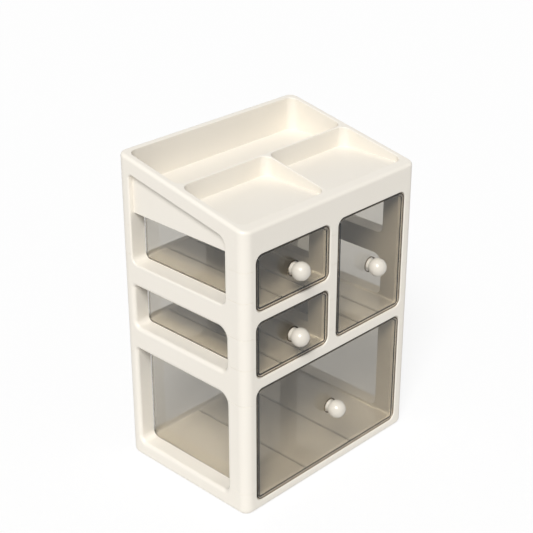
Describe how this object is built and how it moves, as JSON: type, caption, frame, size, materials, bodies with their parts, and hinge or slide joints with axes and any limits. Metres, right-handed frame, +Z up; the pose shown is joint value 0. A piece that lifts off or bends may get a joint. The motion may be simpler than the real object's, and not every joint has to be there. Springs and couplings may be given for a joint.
{
  "type": "drawer storage box",
  "caption": "Desktop storage box: a plug-together cream frame of rings and posts with see-through sliding drawers, ball knobs and a sloping open tray on top.",
  "frame": {"origin": "on the table, at the middle of the whole footprint, knobs included", "axes": "+X to the right seen from the front, +Y from the front to the rear, +Z up"},
  "size_m": [0.27, 0.2094, 0.3766],
  "materials": {
    "cream_plastic": "satin",
    "smoke_plastic": "clear smoky gloss",
    "knob_plastic": "gloss",
    "screw_steel": "zinc plated"
  },
  "bodies": {
    "carcass": {"base_frame": "cream_plastic", "lower_post_front_left": "cream_plastic", "lower_post_front_right": "cream_plastic", "lower_post_rear_left": "cream_plastic", "lower_post_rear_right": "cream_plastic", "lower_shelf": "cream_plastic", "middle_post_front_left": "cream_plastic", "middle_post_front_right": "cream_plastic", "middle_post_rear_left": "cream_plastic", "middle_post_rear_right": "cream_plastic", "middle_shelf": "cream_plastic", "middle_upright_front": "cream_plastic", "middle_upright_rear": "cream_plastic", "top_tray": "cream_plastic", "upper_post_front_left": "cream_plastic", "upper_post_front_right": "cream_plastic", "upper_post_rear_left": "cream_plastic", "upper_post_rear_right": "cream_plastic", "upper_upright_front": "cream_plastic", "upper_upright_rear": "cream_plastic"},
    "bottom_drawer": {"bottom_drawer_tub": "smoke_plastic", "bottom_drawer_knob": "knob_plastic", "bottom_drawer_screw": "screw_steel"},
    "middle_drawer": {"middle_drawer_tub": "smoke_plastic", "middle_drawer_knob": "knob_plastic", "middle_drawer_screw": "screw_steel"},
    "top_drawer": {"top_drawer_tub": "smoke_plastic", "top_drawer_knob": "knob_plastic", "top_drawer_screw": "screw_steel"},
    "tall_drawer": {"tall_drawer_tub": "smoke_plastic", "tall_drawer_knob": "knob_plastic", "tall_drawer_screw": "screw_steel"}
  },
  "joints": [
    {"name": "bottom_drawer_slide", "type": "slide", "parent": "carcass", "child": "bottom_drawer", "axis": [0, -1, 0], "range_m": [0, 0.125]},
    {"name": "middle_drawer_slide", "type": "slide", "parent": "carcass", "child": "middle_drawer", "axis": [0, -1, 0], "range_m": [0, 0.125]},
    {"name": "top_drawer_slide", "type": "slide", "parent": "carcass", "child": "top_drawer", "axis": [0, -1, 0], "range_m": [0, 0.125]},
    {"name": "tall_drawer_slide", "type": "slide", "parent": "carcass", "child": "tall_drawer", "axis": [0, -1, 0], "range_m": [0, 0.125]}
  ]
}
